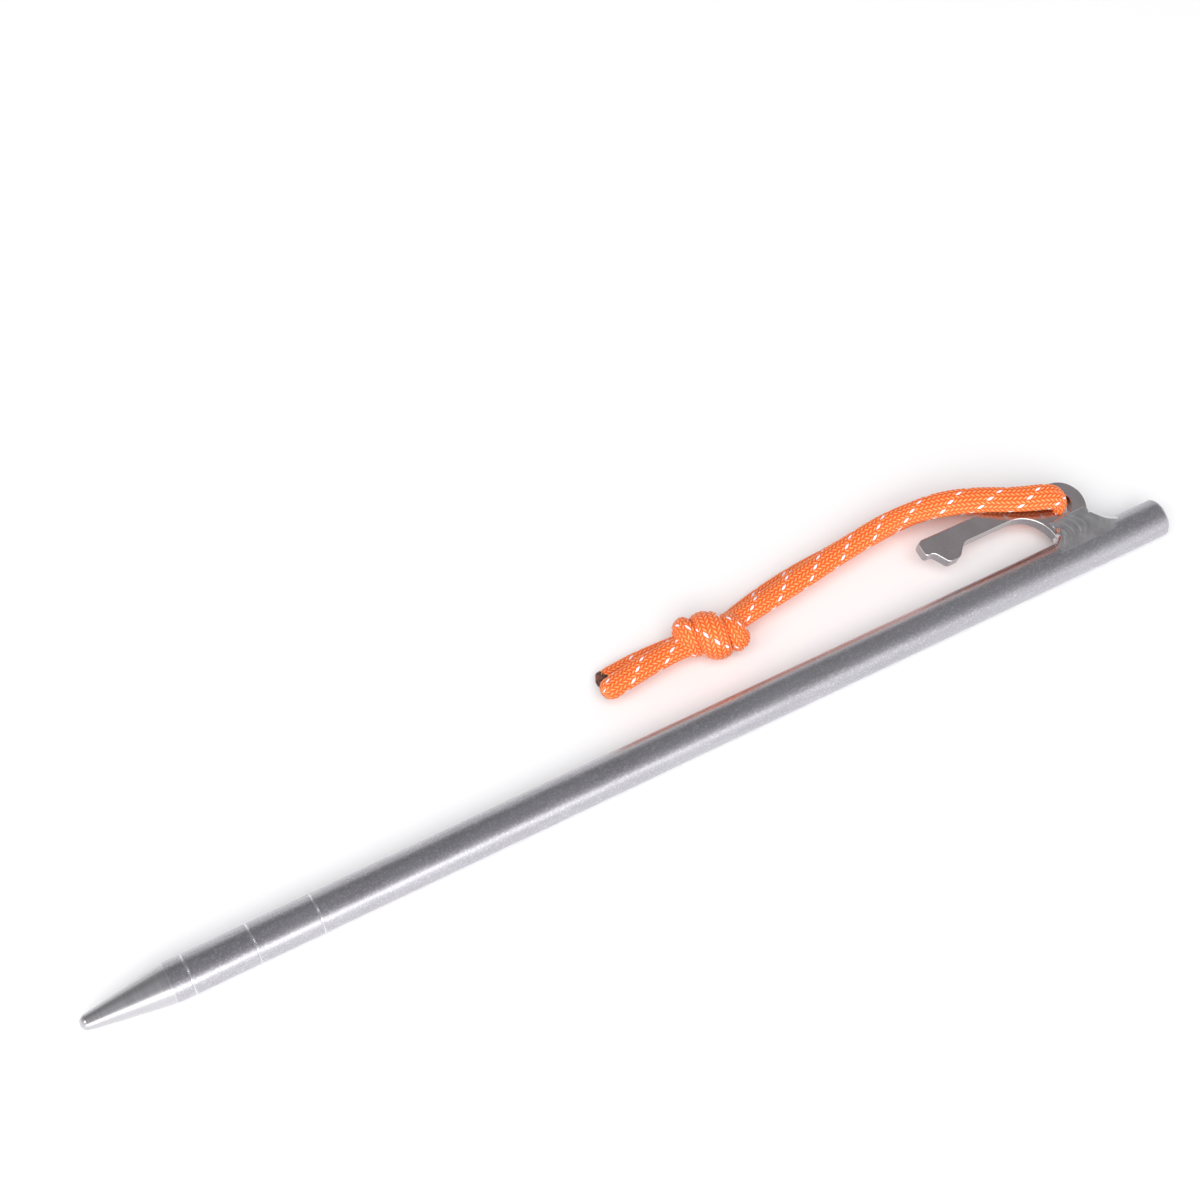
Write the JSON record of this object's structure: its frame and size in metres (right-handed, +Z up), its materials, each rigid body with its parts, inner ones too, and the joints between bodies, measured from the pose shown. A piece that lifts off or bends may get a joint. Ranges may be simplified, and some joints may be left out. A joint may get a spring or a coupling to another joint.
{
  "type": "hook tent stake",
  "caption": "Round titanium tent stake with a ground cone point, depth rings, a welded hook plate with an eye, and a knotted orange pull cord",
  "frame": {"origin": "on the ground, below the middle of the box round the metal parts, with the stake lying on its side", "axes": "+X along the shaft from the point to the head, +Y to the side that the hook plate stands out on, +Z up"},
  "size_m": [0.24, 0.0314, 0.0139],
  "materials": {
    "blasted_titanium": "satin, blasted, faintly violet grey",
    "plate_titanium": "matt as-cut sheet with bright chamfered edges",
    "ground_weld": "ground smooth, with fine curved ripples",
    "orange_cord": "fine braid with white reflective flecks",
    "melted_cord": "burnt and melted, glossy in places"
  },
  "bodies": {
    "stake": {"shaft": "blasted_titanium", "hook_plate": "plate_titanium", "weld_upper": "ground_weld", "weld_lower": "ground_weld", "weld_heel": "ground_weld", "weld_throat": "ground_weld"},
    "pull_cord": {"cord_upper_leg": "orange_cord", "cord_lower_leg": "orange_cord", "cord_knot": "orange_cord", "cord_front_tail": "orange_cord", "cord_back_tail": "orange_cord", "front_sealed_end": "melted_cord", "back_sealed_end": "melted_cord"}
  },
  "joints": [
    {"name": "cord_swing", "type": "hinge", "parent": "stake", "child": "pull_cord", "pos_m": [0.1012, 0.0047, 0.0067], "axis": [0, 0, -1], "range_deg": [-2, 110]}
  ]
}
